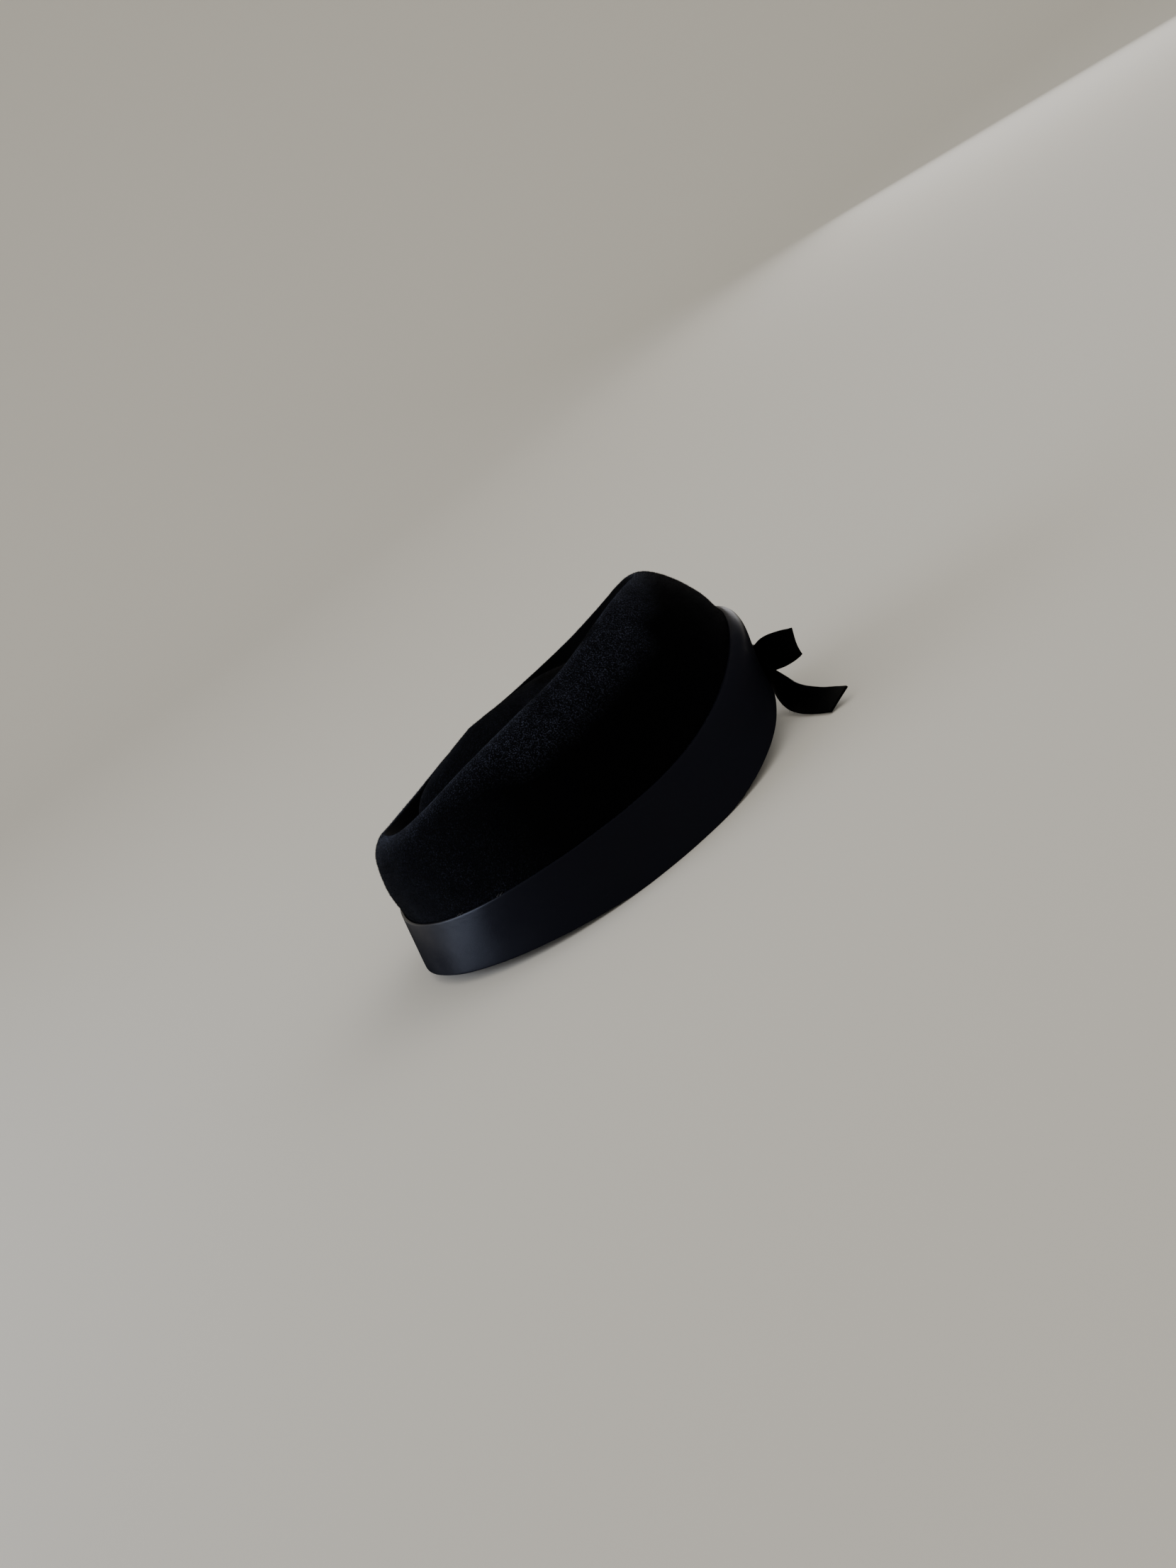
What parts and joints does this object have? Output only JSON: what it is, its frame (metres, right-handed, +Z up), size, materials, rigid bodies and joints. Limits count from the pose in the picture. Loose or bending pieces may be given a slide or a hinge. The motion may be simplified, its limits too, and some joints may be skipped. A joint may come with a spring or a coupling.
{
  "type": "half hat",
  "caption": "Small creased velour-felt half hat with a wide smooth leather band and a flat leather-strap bow in front; it sits tilted on the head.",
  "frame": {"origin": "centre of the bounding box in plan, on the surface the hat rests on", "axes": "-Y towards the hat's front and its bow, -X towards the wearer's right, +Z up; the hat rests on the dips of its rim, tipped back by about four degrees"},
  "size_m": [0.1734, 0.2312, 0.0985],
  "materials": {
    "velour_felt": "black velour felt with a short soft nap",
    "band_leather": "smooth black leather, satin",
    "strap_leather": "matt black leather strap with a fine grain"
  },
  "bodies": {
    "root": {"crown": "velour_felt", "band": "band_leather", "bow_knot": "strap_leather", "bow_loop_right": "strap_leather", "bow_loop_left": "strap_leather", "bow_tail_right": "strap_leather", "bow_tail_left": "strap_leather"}
  },
  "joints": []
}
